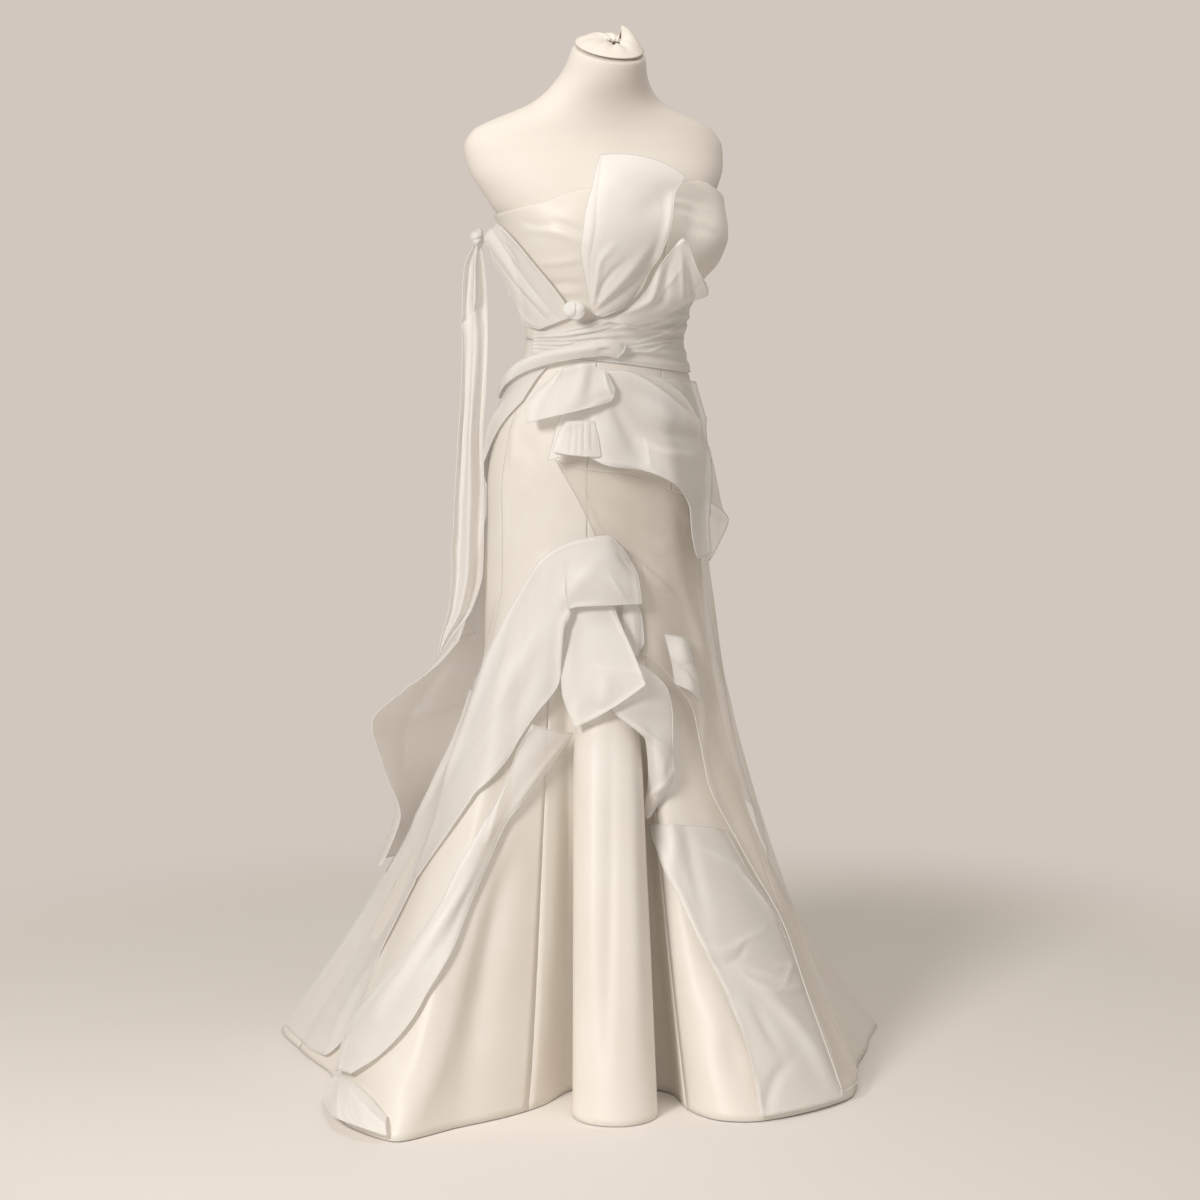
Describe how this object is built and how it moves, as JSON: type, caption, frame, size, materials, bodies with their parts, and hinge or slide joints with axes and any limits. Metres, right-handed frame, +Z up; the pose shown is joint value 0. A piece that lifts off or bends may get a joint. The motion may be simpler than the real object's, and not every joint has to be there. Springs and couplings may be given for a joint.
{
  "type": "wedding dress on dress form",
  "caption": "Strapless fit-and-flare wedding dress with pleated sash, bow and loose organza drapes, worn by a limbless dress form on a pole with a round base.",
  "frame": {"origin": "the middle of the underside of the round base plate, on the floor", "axes": "+Z up, -Y towards the front of the dress, +X towards the wearer's left"},
  "size_m": [0.9681, 0.9594, 1.537],
  "materials": {
    "duchess_satin": "satin",
    "silk_organza": "sheer, crisp",
    "form_jersey": "matt",
    "stand_paint": "satin paint"
  },
  "bodies": {
    "root": {"back_placket": "duchess_satin", "back_wing": "silk_organza", "bodice_back_left": "duchess_satin", "bodice_back_right": "duchess_satin", "bodice_cup": "duchess_satin", "bodice_front": "duchess_satin", "bow_fan": "silk_organza", "bow_loop": "silk_organza", "bust_fan": "silk_organza", "bust_point": "silk_organza", "flare_back_left": "duchess_satin", "flare_back_right": "duchess_satin", "flare_front": "duchess_satin", "flare_front_left": "duchess_satin", "flare_side_left": "duchess_satin", "flare_side_right": "duchess_satin", "form_neck_cover": "form_jersey", "form_torso": "form_jersey", "front_tube": "duchess_satin", "hem_petals": "silk_organza", "hem_strip": "silk_organza", "hip_drape_right": "silk_organza", "knee_arch": "silk_organza", "knee_flap": "silk_organza", "knee_tab": "silk_organza", "peplum_corner": "silk_organza", "peplum_flounce": "silk_organza", "second_flap": "silk_organza", "shoulder_drape": "silk_organza", "shoulder_tail": "silk_organza", "side_cascade": "silk_organza", "side_fold": "silk_organza", "side_knot": "silk_organza", "side_overlay": "silk_organza", "skirt_back_left": "duchess_satin", "skirt_back_right": "duchess_satin", "skirt_front": "duchess_satin", "skirt_side_left": "duchess_satin", "skirt_side_right": "duchess_satin", "stand_base": "stand_paint", "stand_pole": "stand_paint", "waist_knot": "silk_organza", "waist_sash": "silk_organza", "waist_wrap": "silk_organza"}
  },
  "joints": []
}
